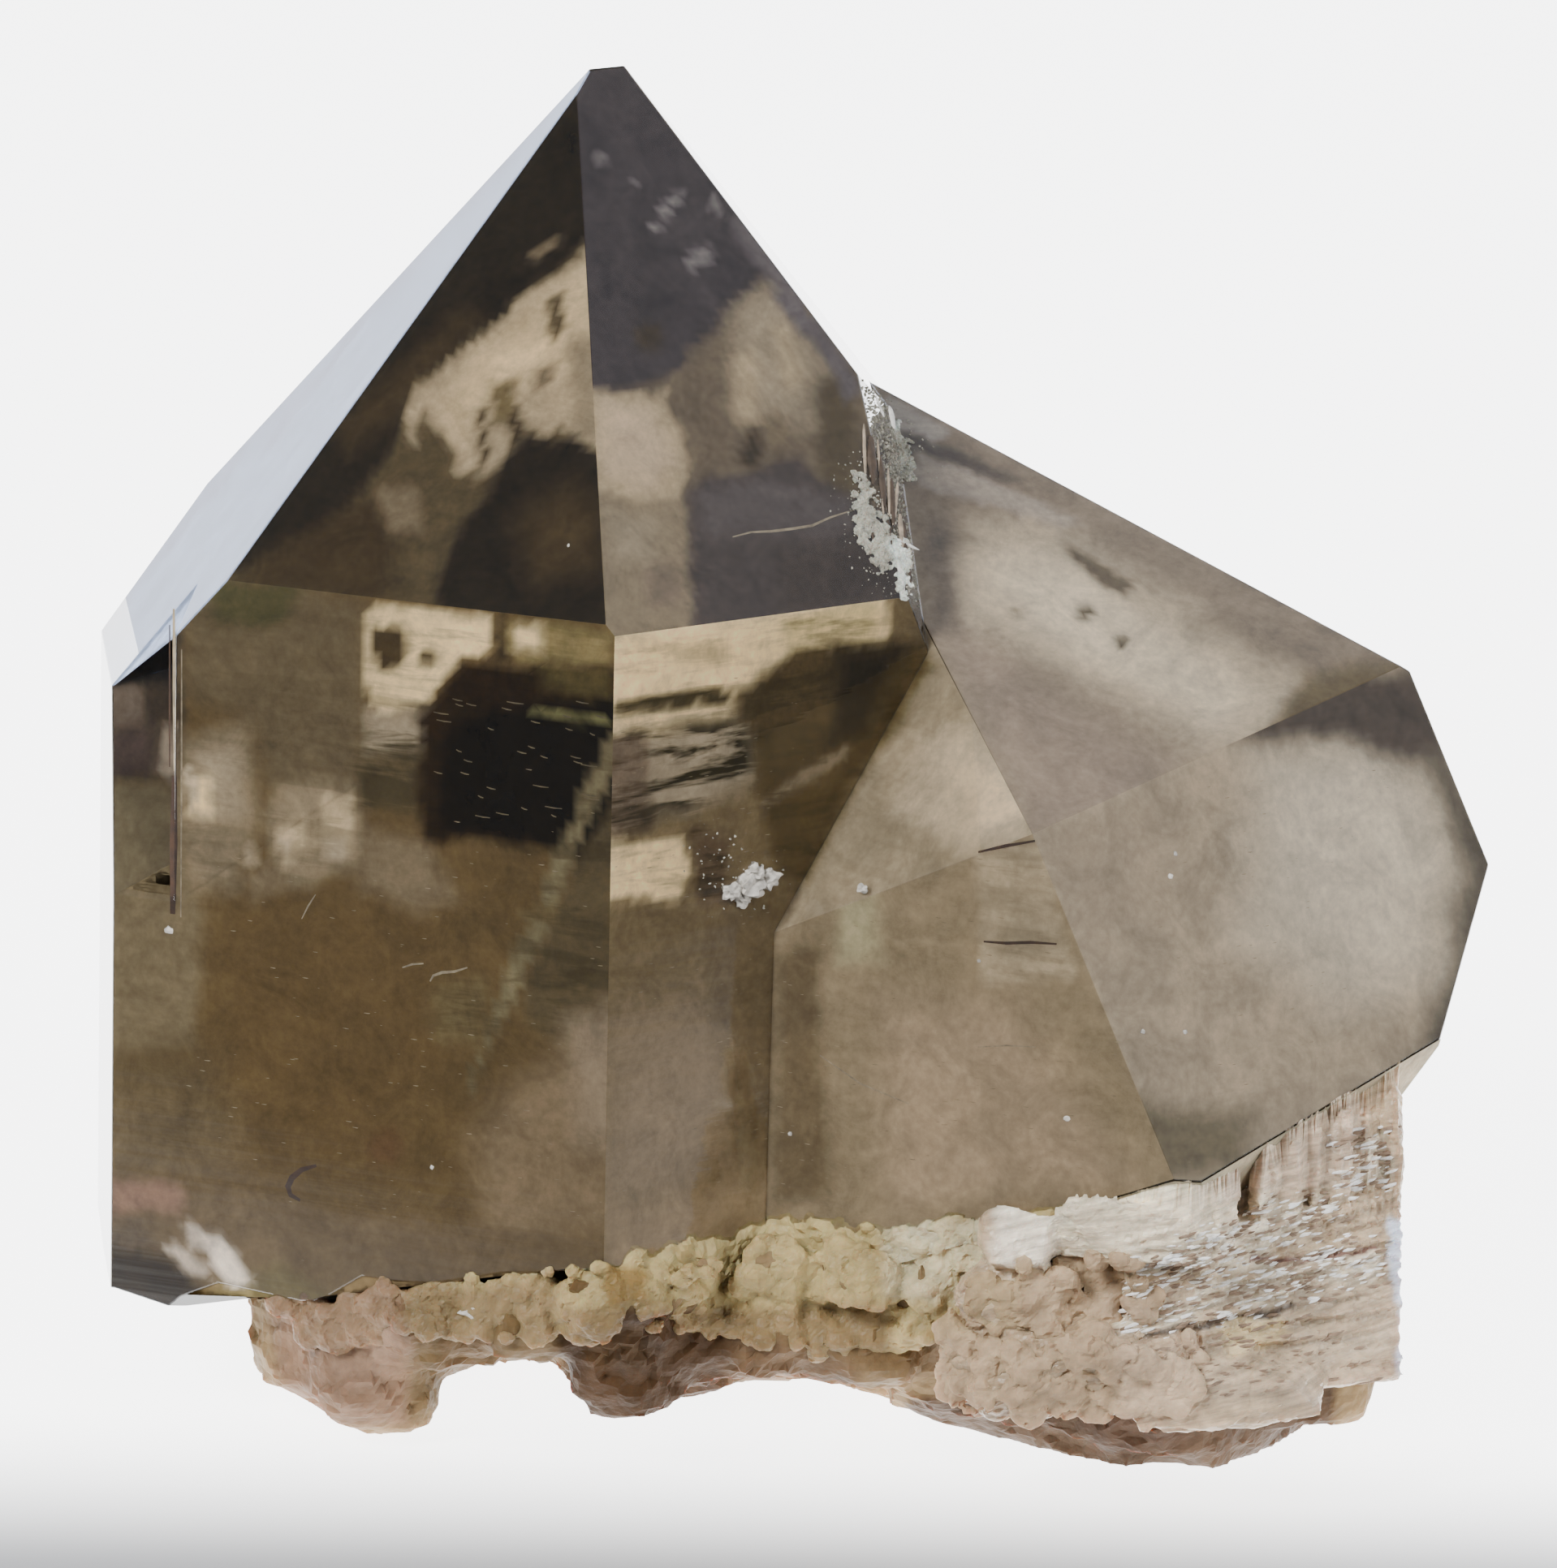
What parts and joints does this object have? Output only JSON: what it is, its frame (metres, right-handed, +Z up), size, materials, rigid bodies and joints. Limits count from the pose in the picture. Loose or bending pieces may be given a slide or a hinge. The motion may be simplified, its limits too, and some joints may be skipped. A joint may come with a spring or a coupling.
{
  "type": "smoky quartz crystal",
  "caption": "Smoky quartz specimen: a pointed prism and a leaning crystal grown into each other, on rough pale matrix with a fluted glassy piece.",
  "frame": {"origin": "on the surface it rests on, under the middle of the specimen's box", "axes": "+Z up along the main crystal's length, +X to the right of the side that shows both crystals, +Y away from that side"},
  "size_m": [0.0428, 0.0304, 0.0413],
  "materials": {
    "smoky_quartz": "clear smoky brown crystal, polished by nature",
    "fluted_crystal": "glinting fluted crystal, translucent pale brown",
    "pale_matrix": "rough broken cream to yellowish matrix"
  },
  "bodies": {
    "root": {"smoky_quartz": "smoky_quartz", "fluted_crystal": "fluted_crystal", "pale_matrix": "pale_matrix"}
  },
  "joints": []
}
